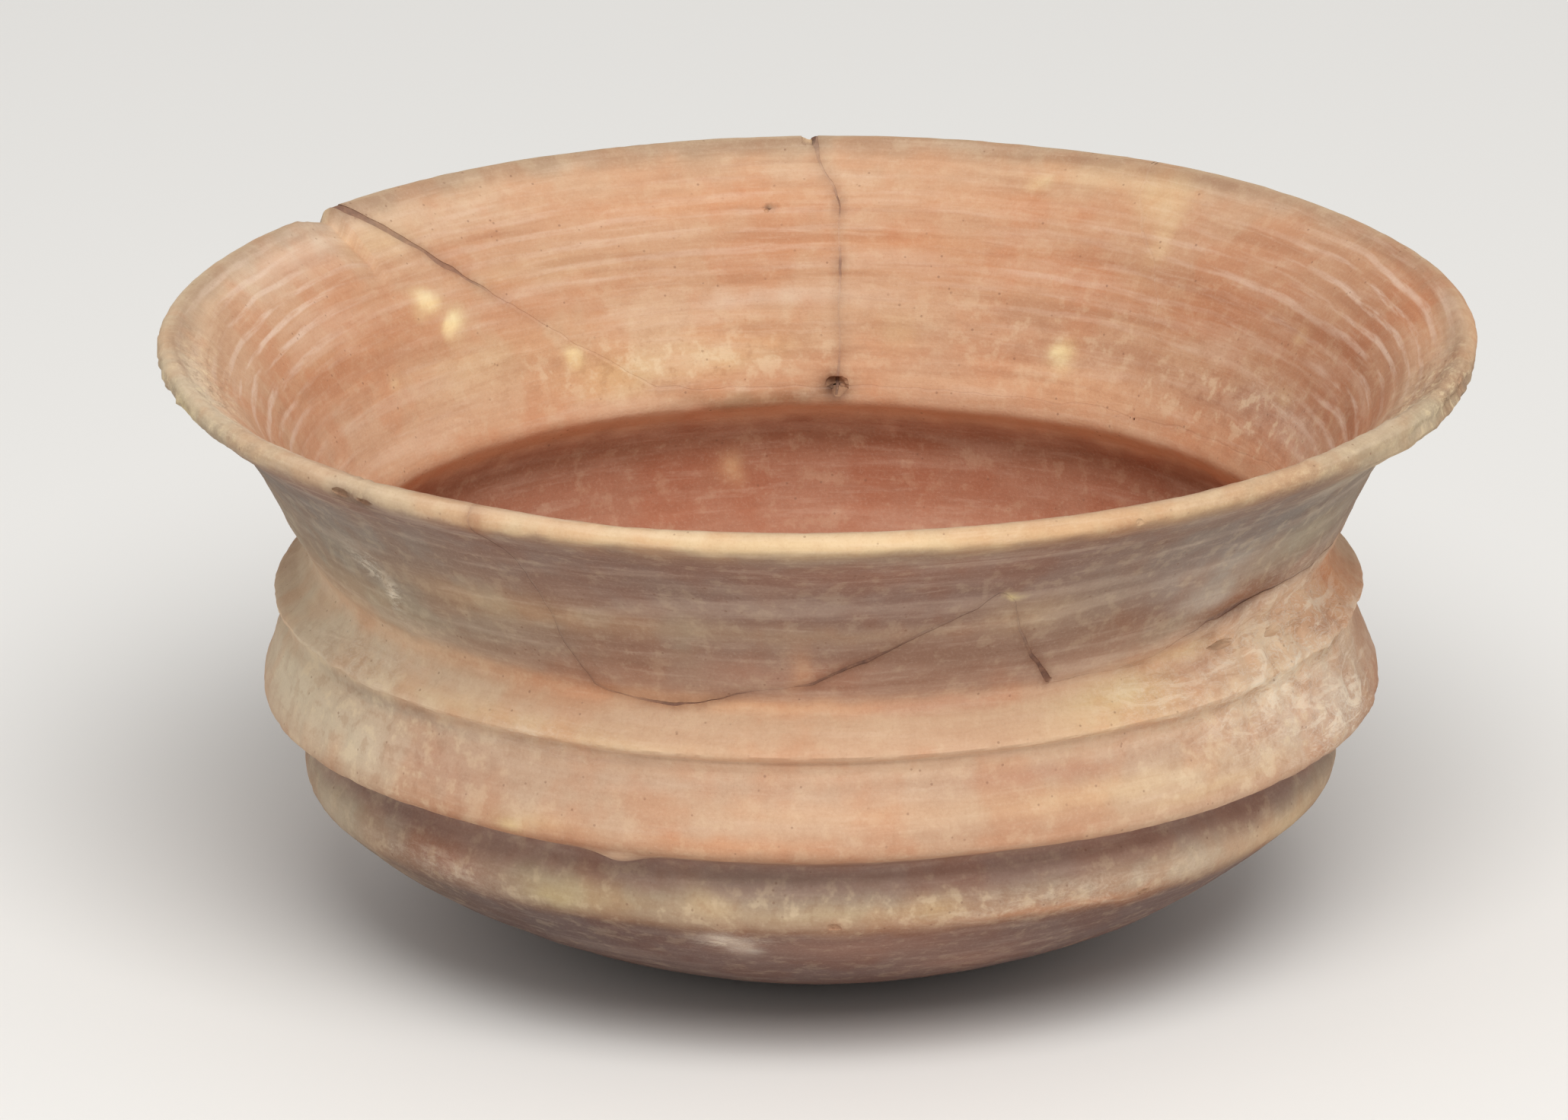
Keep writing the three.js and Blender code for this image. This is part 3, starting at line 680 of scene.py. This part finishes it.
INSIDE_PATCHES = [
    # Redder at the right, and darker there as painted shade on the wall turned from the light; paler at
    # the back left
    (102, 50, 24, 9, CINNAMON, 0.7), (122, 46.5, 20, 7, CINNAMON, 0.45), (200, 44, 34, 4, CREAM, 0.28),
    (172, 52, 12, 1.2, ORANGE, 0.35), (165, 50.6, 6, 1.2, RUST, 0.14), (214, 51.5, 12, 1.2, CREAM, 0.2),
    (150, 41, 16, 1.6, PEACH, 0.4), (158, 55.6, 12, 1.2, ORANGE, 0.3),
    (156, 50, 16, 1.6, srgb(206, 138, 92), 0.4), (192, 55.5, 16, 1.4, ORANGE, 0.35),
    (245, 51, 14, 4, ORANGE, 0.25), (236, 46, 9, 3, ORANGE, 0.12), (222, 45, 10, 2, CREAM, 0.3),
    (130, 46, 12, 2.4, CREAM, 0.16), (112, 44, 12, 2, CHALK, 0.2), (186, 47, 8, 0.7, CHALK, 0.25),
    # Pale and yellow spots, one dark speck, a darker brown band along the throat's edge beside the back
    # break, and painted shade in the lost chip's hole
    (227.2, 51.2, 1.4, 1.1, STRAW, 1.5), (223.8, 48.7, 1.3, 1.1, STRAW, 1.6),
    (210.2, 43.4, 1.3, 0.9, STRAW, 1.2), (149.6, 43.4, 1.5, 1.2, STRAW, 1.6),
    (157.5, 57.6, 0.8, 0.6, STRAW, 0.5), (190.5, 29.9, 1.4, 1.4, CREAM, 0.5),
    (236, 45.6, 0.8, 0.6, CREAM, 0.6), (114, 45.8, 1.6, 0.7, CREAM, 0.5), (116.5, 51, 1, 0.7, CREAM, 0.4),
    (*DARK_PIT, 0.4, 0.3, UMBER, 1.5), (182, 38.2, 4.5, 0.8, UMBER, 0.5),
    (190, 37.9, 8, 0.8, srgb(150, 118, 84), 0.7), (204, 41.4, 7, 1.6, YELLOW, 0.4),
    (192, 42, 5, 1.4, YELLOW, 0.35), (184, 42.6, 3, 1, CREAM, 0.4), (164, 41.2, 10, 1.4, SHELL, 0.4),
    # At the lost chip, painted shade darkens the clay in and around its hole
    (160, 38.3, 15, 0.6, CINNAMON, 0.3), (*LOST_CHIP, 1.7, 1.1, UMBER, 1.1),
    (171, 44, 2, 1.4, CREAM, 0.4), (206, 39.8, 4, 0.8, CREAM, 0.5),
    # Lip seen from inside, and the whitish strip beside the right break
    (144.5, 58, 3, 2, CREAM, 0.7), (142.5, 55, 1.2, 2.6, CREAM, 0.55), (152, 58.4, 6, 1.2, CREAM, 0.4),
    (238, 58, 12, 1.6, CHALK, 0.3), (228, 57, 4, 1.4, CREAM, 0.5), (140, 51, 22, 8, CINNAMON, 0.2),
    (288, 59, 16, 2, SAND, 0.7), (296, 57, 12, 2, SHELL, 0.5), (73, 58, 12, 3, OLIVE, 0.7),
    (78, 58, 5, 2, RUST, 0.35), (300, 57.4, 6, 0.8, RUST, 0.35), (60, 59, 8, 1.4, SAND, 0.5),
    (100, 58, 16, 1.6, ORANGE, 0.4), (114, 58.2, 22, 1.8, CINNAMON, 0.35),
]
# Where chalky rings, scratches and mottles show most: side (1 outside, 0 inside), place and strength
MARKS = {
    "chalk_rings": [
        (0, 252, 55, 16, 5, 1), (0, 266, 52, 14, 6, 0.9), (0, 104, 56, 20, 4, 1), (0, 98, 50, 12, 8, 0.8),
        (0, 126, 53, 22, 4, 0.5), (0, 200, 53, 40, 5, 0.4), (0, 150, 50, 24, 5, 0.35),
    ],
    "scratches": [
        (1, -50.9, 43.8, 1.6, 2.4, 1), (1, -53, 47, 2.5, 1.6, 0.8), (1, 62, 35, 18, 7, 1.1),
        (1, 70, 27, 12, 4, 1), (1, -30, 34, 10, 2, 0.3), (1, -60, 36, 9, 2, 0.5), (1, 30, 17, 20, 2, 0.3),
        (1, -11, 13.8, 4, 1.6, 0.7), (1, 40, 36, 9, 3, 0.5), (0, 112, 45, 14, 3, 0.2),
        (1, -48, 17, 12, 2, 0.3), (1, 130, 34, 30, 8, 0.5), (1, 220, 30, 30, 7, 0.5),
    ],
    "mottles": [
        (0, 198, 42, 20, 2.4, 1), (0, 120, 43, 20, 3, 0.9), (0, 150, 44, 16, 4, 0.4),
        (1, 0, 18, 60, 2.4, 0.5), (1, 56, 30, 20, 7, 0.7), (1, -58, 30, 20, 8, 0.7),
        (1, 54, 48, 18, 7, 0.15), (1, 180, 24, 90, 18, 0.6),
    ],
}

# How far the lip's two sides blend, and how patches sway and lift, over what distance
LIP_BLEND = 1.2 * MM
PATCH_SWAY = 1.1
PATCH_WAVE = 3 * MM
PATCH_LIFT = 0.35 * MM
PATCH_LIFT_WAVE = 2.4 * MM
# Faces that meet at more than this show an edge
SHARP_EDGE = math.radians(42)


def tone(height, tones):
    """The colour that a table of heights and colours gives at each height"""
    heights = [row[0] for row in tones]
    colours = np.array([srgb(*row[1:])[:3] for row in tones])
    return np.stack([np.interp(height, heights, column) for column in colours.T], axis=1)


def blobs(azimuth, z, outside, places):
    """The strongest of several places at each point, on its own side of the wall"""
    return np.max([most * (outside if side else 1 - outside) * blob(azimuth, z, place)
                   for side, *place, most in places], axis=0)


def paint(piece):
    """Writes to a piece's points what its materials read about their place on the bowl"""
    mesh = piece.data
    place = positions(mesh)
    r = np.hypot(place[:, 0], place[:, 1])
    turned = np.degrees(np.arctan2(place[:, 0], -place[:, 1]))
    along = ALONG[nearest_on_outline(r, place[:, 2] + worn_drop(turned, place[:, 2]))]
    outside = smooth_step(LIP_ALONG + LIP_BLEND, LIP_ALONG - LIP_BLEND, along)
    inside = 1 - outside
    azimuth = turned + PATCH_SWAY * fractal(place / PATCH_WAVE, 2, 61)
    z = place[:, 2] + PATCH_LIFT * fractal(place / PATCH_LIFT_WAVE, 2, 67)
    colour = tone(z / MM, INSIDE_TONES) * inside[:, None] + tone(z / MM, OUTSIDE_TONES) * outside[:, None]
    for patches, side in ((OUTSIDE_PATCHES, outside), (INSIDE_PATCHES, inside)):
        for *patch, other, most in patches:
            strength = np.minimum(most * side * blob(azimuth, z, patch), 1)[:, None]
            colour = colour * (1 - strength) + np.array(other[:3]) * strength
    tint = mesh.attributes.new("tint", "FLOAT_COLOR", "POINT")
    tint.data.foreach_set("color", np.c_[colour, np.ones(len(colour))].astype(np.float32).ravel())
    neck = smooth_step(ROOT_Z - 2 * MM, ROOT_Z + MM, place[:, 2])
    rough = [(side, *where, most) for side in (0, 1) for *where, most, _ in ROUGH_LIP]
    for name, values in {
        "along": along / MM,
        "ringed": outside * (0.35 + 0.35 * neck) + inside * (0.45 + 0.4 * neck),
        "rough": blobs(turned, place[:, 2], outside, rough),
        **{name: blobs(azimuth, z, outside, places) for name, places in MARKS.items()},
        "stain": break_shade(place, inside, STAIN_REACH),
        "shade": break_shade(place, inside),
    }.items():
        set_attribute(mesh, name, values)
    mesh.polygons.foreach_set("use_smooth", [True] * len(mesh.polygons))
    mesh.set_sharp_from_angle(angle=SHARP_EDGE)


class Nodes:
    """Short calls for building a material's nodes"""

    def __init__(self, name):
        self.material = bpy.data.materials.new(name)
        self.material.use_nodes = True
        self.tree = self.material.node_tree
        self.shader = self.tree.nodes["Principled BSDF"]

    def put(self, socket, value):
        """Links a socket to another or sets its value"""
        if isinstance(value, bpy.types.NodeSocket):
            self.tree.links.new(value, socket)
        elif value is not None:
            socket.default_value = value

    def node(self, kind, output, inputs, **settings):
        """One output of a new node with these settings and inputs"""
        made = self.tree.nodes.new("ShaderNode" + kind)
        for name, value in settings.items():
            setattr(made, name, value)
        for name, value in inputs.items():
            self.put(made.inputs[name], value)
        return made.outputs[output]

    def math(self, operation, *values):
        return self.node("Math", 0, dict(enumerate(values)), operation=operation)

    def times(self, a, b):
        return self.math("MULTIPLY", a, b)

    def attribute(self, name, output="Fac"):
        return self.node("Attribute", output, {}, attribute_name=name)

    def stretch(self, vector, across, up):
        return self.node("VectorMath", 0, {0: vector, 1: (across, across, up)}, operation="MULTIPLY")

    def span(self, value, low, high, most=1.0):
        """Goes softly from 0 to the most as a value goes from low to high"""
        inputs = {"Value": value, "From Min": low, "From Max": high, "To Min": 0, "To Max": most}
        return self.node("MapRange", "Result", inputs, interpolation_type="SMOOTHSTEP")

    def mix(self, factor, a, b, blend="MIX"):
        inputs = dict(Factor=factor, A=a, B=b)
        return self.node("Mix", "Result", inputs, data_type="RGBA", blend_type=blend)

    def tinge(self, colour, other, value, low, high, most=1.0, where=None):
        """Takes a colour towards another as a value goes from low to high"""
        amount = self.span(value, low, high, most)
        return self.mix(amount if where is None else self.times(amount, where), colour, other)

    def ramp(self, value, stops):
        """A colour by value, from at least two stops"""
        made = self.tree.nodes.new("ShaderNodeValToRGB")
        self.put(made.inputs["Fac"], value)
        elements = made.color_ramp.elements
        while len(elements) < len(stops):
            elements.new(0.5)
        for element, (place, colour) in zip(elements, stops):
            element.position = place
            element.color = colour
        return made.outputs["Color"]

    def noise(self, vector, scale, detail=3, roughness=0.6, warp=0.0):
        inputs = dict(Vector=vector, Scale=scale, Detail=detail, Roughness=roughness, Distortion=warp)
        return self.node("TexNoise", "Fac", inputs)

    def bump(self, height, distance, strength, normal=None):
        inputs = dict(Strength=strength, Distance=distance, Height=height, Normal=normal)
        return self.node("Bump", "Normal", inputs)

    def places(self):
        """Position in millimetres, and the wheel's own coordinates: once round, and along the outline"""
        place = self.node("TexCoord", "Object", {})
        place = self.node("VectorMath", 0, {0: place, "Scale": 1 / MM}, operation="SCALE")
        x, y = (self.node("SeparateXYZ", axis, {0: place}) for axis in "XY")
        radius = self.math("SQRT", self.math("ADD", self.times(x, x), self.times(y, y)))
        x, y = (self.math("DIVIDE", side, radius) for side in (x, y))
        return place, self.node("CombineXYZ", 0, {0: x, 1: y, 2: self.attribute("along")})


# How deep the wheel's marks and the scratches look
RELIEF_DEPTH = 0.2 * MM


def weathered(n, place, wheel):
    """The clay's colour and fine relief: the wheel's rings, mottles, scratches, specks and grain"""
    colour = n.attribute("tint", "Color")
    darker = n.mix(1, colour, srgb(216, 192, 180), "MULTIPLY")
    paler = n.mix(0.5, colour, srgb(238, 214, 190))
    redder = n.mix(1, colour, srgb(250, 226, 214), "MULTIPLY")
    # Clouds, broad rings and fine strokes of the wheel
    ringed = n.attribute("ringed")
    rings = n.noise(n.stretch(wheel, 2.2, 0.4), 1.2, 3, 0.5, 0.3)
    strokes = n.noise(n.stretch(wheel, 1.6, 0.3), 4.2, 4, 0.65, 0.3)
    stroked = n.math("MULTIPLY_ADD", ringed, 0.5, 0.5)
    colour = n.tinge(colour, redder, n.noise(place, 0.11), 0.44, 0.62, 0.6)
    colour = n.tinge(colour, darker, rings, 0.5, 0.32, 0.42, ringed)
    colour = n.tinge(colour, paler, rings, 0.52, 0.7, 0.4, ringed)
    colour = n.tinge(colour, paler, strokes, 0.52, 0.7, 0.24, stroked)
    colour = n.tinge(colour, darker, strokes, 0.47, 0.3, 0.22, stroked)
    # Broken chalky rings inside the neck
    sway = n.noise(n.stretch(wheel, 2, 0.12), 1)
    rows = n.math("SINE", n.math("MULTIPLY_ADD", sway, 11, n.times(n.attribute("along"), 3.2)))
    broken = n.span(n.noise(n.stretch(wheel, 4, 0.6), 1, 4, 0.7), 0.38, 0.62)
    chalky = n.times(broken, n.attribute("chalk_rings"))
    colour = n.tinge(colour, srgb(234, 210, 190), rows, 0.1, 0.95, 0.6, chalky)
    # Mottles
    mottle = n.noise(place, 0.5)
    mottled = n.math("MULTIPLY_ADD", n.attribute("mottles"), 0.4, 0.1)
    colour = n.tinge(colour, srgb(234, 212, 176), mottle, 0.52, 0.66, 1, mottled)
    colour = n.tinge(colour, darker, mottle, 0.47, 0.36, 1, mottled)
    # Wisps and scratches
    scratched = n.attribute("scratches")
    wisps = n.noise(n.stretch(wheel, 7, 0.42), 1, 5, 0.7, 1.3)
    colour = n.tinge(colour, srgb(244, 226, 200), wisps, 0.52, 0.62, 0.65, scratched)
    colour = n.tinge(colour, darker, wisps, 0.46, 0.36, 0.7, scratched)
    crossing = n.math("SUBTRACT", n.noise(n.stretch(place, 0.5, 1), 0.8, 5, 0.72, 1.2), 0.5)
    scratch = n.span(n.math("ABSOLUTE", crossing), 0.035, 0.004)
    colour = n.mix(n.times(scratch, n.times(scratched, 0.45)), colour, CHALK)
    # Grit where the lip is worn rough
    rough = n.attribute("rough")
    grit = n.noise(n.stretch(wheel, 50, 1.1), 1, 5, 0.75)
    colour = n.tinge(colour, srgb(124, 94, 70), grit, 0.48, 0.34, 0.5, rough)
    colour = n.tinge(colour, srgb(234, 212, 170), grit, 0.51, 0.64, 0.6, rough)
    # Grain and rare dark specks
    grain = n.noise(place, 3.2, 4, 0.7)
    colour = n.tinge(colour, paler, grain, 0.5, 0.72, 0.18)
    colour = n.tinge(colour, darker, grain, 0.47, 0.28, 0.22)
    rare = n.span(n.noise(place, 0.4, 1), 0.5, 0.62)
    specks = n.node("TexVoronoi", "Distance", {"Vector": place, "Scale": 0.9})
    colour = n.tinge(colour, srgb(120, 82, 62), specks, 0.16, 0.08, 0.45, rare)
    relief = n.times(n.math("ADD", rings, n.times(strokes, 0.5)), ringed)
    relief = n.math("ADD", relief, n.times(scratch, n.times(scratched, 0.15)))
    relief = n.math("ADD", relief, n.times(n.times(grit, rough), 1.6))
    return colour, grain, relief


def finish_clay(n, colour, roughness, grain, grain_depth, grain_strength, relief=None):
    """Gives a material its colour, roughness and bumps"""
    n.put(n.shader.inputs["Base Color"], colour)
    n.shader.inputs["Roughness"].default_value = roughness
    coarse = None if relief is None else n.bump(relief, RELIEF_DEPTH, 0.4)
    n.put(n.shader.inputs["Normal"], n.bump(grain, grain_depth, grain_strength, coarse))
    return n.material


def make_clay():
    """The clay of the bowl with its stains along the breaks"""
    n = Nodes("worn_clay")
    colour, grain, relief = weathered(n, *n.places())
    colour = n.mix(n.times(n.attribute("stain"), 0.7), colour, srgb(118, 78, 58))
    n.shader.inputs["Specular IOR Level"].default_value = 0.25
    return finish_clay(n, colour, 0.88, grain, 0.1 * MM, 0.5, relief)


def make_core():
    """The broken faces: coarser clay, mostly in the tone of the skin beside it"""
    n = Nodes("broken_clay")
    grain = n.noise(n.places()[0], 1.6, 5, 0.7)
    colour = n.ramp(grain, [(0.3, srgb(168, 122, 92)), (0.6, srgb(198, 152, 116)),
                            (0.8, srgb(218, 182, 146))])
    colour = n.mix(0.75, colour, n.attribute("tint", "Color"))
    return finish_clay(n, colour, 0.95, grain, 0.2 * MM, 0.7)


def make_glue():
    """Aged glue with grit: dark brown where a break is open, and like the clay where it is filled"""
    n = Nodes("old_glue")
    place, wheel = n.places()
    clay, _, relief = weathered(n, place, wheel)
    grain = n.noise(place, 1.1, 4)
    glue = n.ramp(grain, [(0.3, srgb(96, 64, 50)), (0.52, srgb(120, 82, 64)), (0.72, srgb(146, 106, 80))])
    colour = n.tinge(clay, glue, n.attribute("shade"), 0.02, 0.95)
    return finish_clay(n, colour, 0.7, grain, 0.12 * MM, 0.5, relief)


CLAY_SLOTS = [make_clay(), make_core()]
GLUE = make_glue()

# Chips: azimuth, height, a radius and how far beyond it, and half the width, depth and height in mm
CHIPS = [
    (-44.9, 58.6, RIM_RADIUS, 0.2, (1.3, 0.65, 0.55)), (-42.3, 58.2, RIM_RADIUS, 0.1, (1.1, 0.6, 0.5)),
    (28, 58.6, RIM_RADIUS, 0.1, (0.5, 0.3, 0.5)), (75.5, 59.4, RIM_RADIUS, 0, (0.9, 0.5, 0.6)),
    (71, 59.2, RIM_RADIUS, 0.1, (0.8, 0.4, 0.5)), (-71, 58.2, RIM_RADIUS, 0.3, (0.9, 0.5, 0.5)),
    (49.8, 38.3, NECK_RADIUS, 0.75, (1.9, 1.2, 0.55)), (*DARK_PIT, 0, 55.6, (0.35, 0.3, 0.25)),
    (59, 37.6, NECK_RADIUS, 1.1, (1.6, 0.8, 0.5)), (38, 15.6, BASE_RADIUS, 0.8, (1.6, 1.1, 0.6)),
    (54.8, 5.2, 0, 37.4, (1.2, 0.8, 0.7)), (1.2, 16.1, BASE_RADIUS, 0.8, (0.9, 1, 0.7)),
    (152, 16, BASE_RADIUS, 0.8, (1.8, 1.1, 0.8)),
    (205, 24.6, RIDGE_EDGE_RADIUS, 0.7, (1.7, 1.1, 0.9)), (112, 58.6, RIM_RADIUS, 0.2, (1, 0.5, 0.6)),
    (180.6, 60.2, RIM_RADIUS, -1.2, (0.75, 2.2, 0.8)),
    (*LOST_CHIP, NECK_RADIUS - NECK_WALL, 0, (1.35, 1.7, 1.05)),
]
# The last two chips go through the glue as well: the notch in the rim and the lost chip
GLUE_CHIPS = 2
# Seed of the first chip's roughness, from which the others count up
FIRST_SEED = 3


def make_sherds():
    """The four sherds, cut from one bowl along its breaks"""
    bowl = make_bowl("bowl")
    for i, chip in enumerate(CHIPS):
        cut(bowl, make_lump(*chip, FIRST_SEED + i))
    for points in (LONG_BREAK, RIGHT_BREAK, BACK_BREAK):
        cut(bowl, make_blade("blade", even_line(points)))
    place = positions(bowl.data)
    body, *neck = loose_parts(bowl)[:4]
    sherds = {"body_sherd": take_part(bowl, "clay_body", body)}
    for part in neck:
        middle = place[part].mean(axis=0)
        azimuth = math.degrees(math.atan2(middle[0], -middle[1])) % 360
        breaks_before = sum(azimuth > line[0][0] for line in (RIGHT_BREAK, BACK_BREAK))
        side = ("front", "back_right", "back_left")[breaks_before]
        sherds["neck_sherd_" + side] = take_part(bowl, "clay_neck_" + side, part)
    bpy.data.objects.remove(bowl)
    return sherds


def between(line, low=None, high=None):
    """The stretch of a break line between two azimuths, cut off exactly there"""
    for azimuth, side in ((low, 1), (high, -1)):
        if azimuth is not None:
            end = [np.interp(azimuth, line[:, 0], column) for column in line.T]
            kept = line[side * (line[:, 0] - azimuth) > 0]
            line = np.concatenate([[end], kept] if side == 1 else [kept, [end]])
    return line


def make_glue_pieces():
    """The glue in each break, bedded on both broken faces and a little under the clay's surface"""
    core = make_bowl("core", recessed=True)
    for i in range(len(CHIPS) - GLUE_CHIPS, len(CHIPS)):
        cut(core, make_lump(*CHIPS[i], FIRST_SEED + i))
    right, back = RIGHT_BREAK[0][0], BACK_BREAK[0][0]
    long = even_line(LONG_BREAK)
    lines = {
        "glue_front": between(long, high=right - SEAM_CLEAR),
        "glue_back_right": between(long, right + SEAM_CLEAR, back - SEAM_CLEAR),
        "glue_back_left": between(long, back + SEAM_CLEAR),
        "glue_right_seam": even_line(RIGHT_BREAK),
        "glue_back_seam": even_line(BACK_BREAK),
    }
    pieces = {}
    for name, line in lines.items():
        piece = make_blade("aged_" + name, line, GLUE_BEDDING)
        cut(piece, core, "INTERSECT", keep_tool=True)
        piece.data.materials.clear()
        piece.data.materials.append(GLUE)
        piece.data.polygons.foreach_set("material_index", [0] * len(piece.data.polygons))
        pieces[name] = piece
    bpy.data.objects.remove(core)
    return pieces


def hand_over(piece, node):
    """Paints a piece and puts it in a node's place"""
    paint(piece)
    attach(piece, "root")
    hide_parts(node)


for node, piece in make_sherds().items():
    hand_over(piece, node)

for node, piece in make_glue_pieces().items():
    hand_over(piece, node)

# Half the floor's width, in metres
FLOOR_REACH = 3.0


def make_floor():
    """A plain pale floor"""
    n = Nodes("floor")
    n.shader.inputs["Base Color"].default_value = srgb(232, 230, 226)
    n.shader.inputs["Roughness"].default_value = 0.95
    mesh = bpy.data.meshes.new("floor")
    corners = [(x * FLOOR_REACH, y * FLOOR_REACH, 0) for x, y in ((-1, -1), (1, -1), (1, 1), (-1, 1))]
    mesh.from_pydata(corners, [], [(0, 1, 2, 3)])
    mesh.materials.append(n.material)
    link("floor", mesh)


# The camera: a long lens from the front, a little above, for a picture 2060 pixels wide
PICTURE_WIDTH = 2060
LENS_PIXELS = 22000
SENSOR = 36
PITCH = math.radians(18.6)
ROLL = math.radians(-0.49)
DISTANCE = 1631 * MM
LOOK_AT = Vector((-3.41 * MM, 0, 36.3 * MM))


def make_camera():
    """The camera, at the distance and angle of the photograph"""
    data = bpy.data.cameras.new("camera")
    data.sensor_fit = "HORIZONTAL"
    data.sensor_width = SENSOR
    data.lens = LENS_PIXELS * SENSOR / PICTURE_WIDTH
    camera = link("camera", data)
    back = Vector((0, -math.cos(PITCH), math.sin(PITCH)))
    camera.matrix_world = (Matrix.Translation(LOOK_AT + DISTANCE * back)
                           @ Matrix.Rotation(math.pi / 2 - PITCH, 4, "X") @ Matrix.Rotation(ROLL, 4, "Z"))
    bpy.context.scene.camera = camera


# The sky's strength, and the lamp over the front
SKY_STRENGTH = 0.55
LAMP_SIZE = 0.9
LAMP_POWER = 14
LAMP_PLACE = Vector((0.1, -0.8, 1.05))
LAMP_AIM = Vector((0, 0, 0.03))


def make_light():
    """A plain soft light: an even sky and one wide lamp over the front"""
    world = bpy.data.worlds.new("studio")
    bpy.context.scene.world = world
    world.use_nodes = True
    background = world.node_tree.nodes["Background"]
    background.inputs["Color"].default_value = (1, 1, 1, 1)
    background.inputs["Strength"].default_value = SKY_STRENGTH
    lamp = bpy.data.lights.new("lamp", "AREA")
    lamp.shape = "DISK"
    lamp.size = LAMP_SIZE
    lamp.energy = LAMP_POWER
    holder = link("lamp", lamp)
    holder.location = LAMP_PLACE
    holder.rotation_euler = (LAMP_AIM - LAMP_PLACE).to_track_quat("-Z", "Y").to_euler()


make_floor()
make_camera()
make_light()
bpy.context.scene.view_settings.view_transform = "Standard"
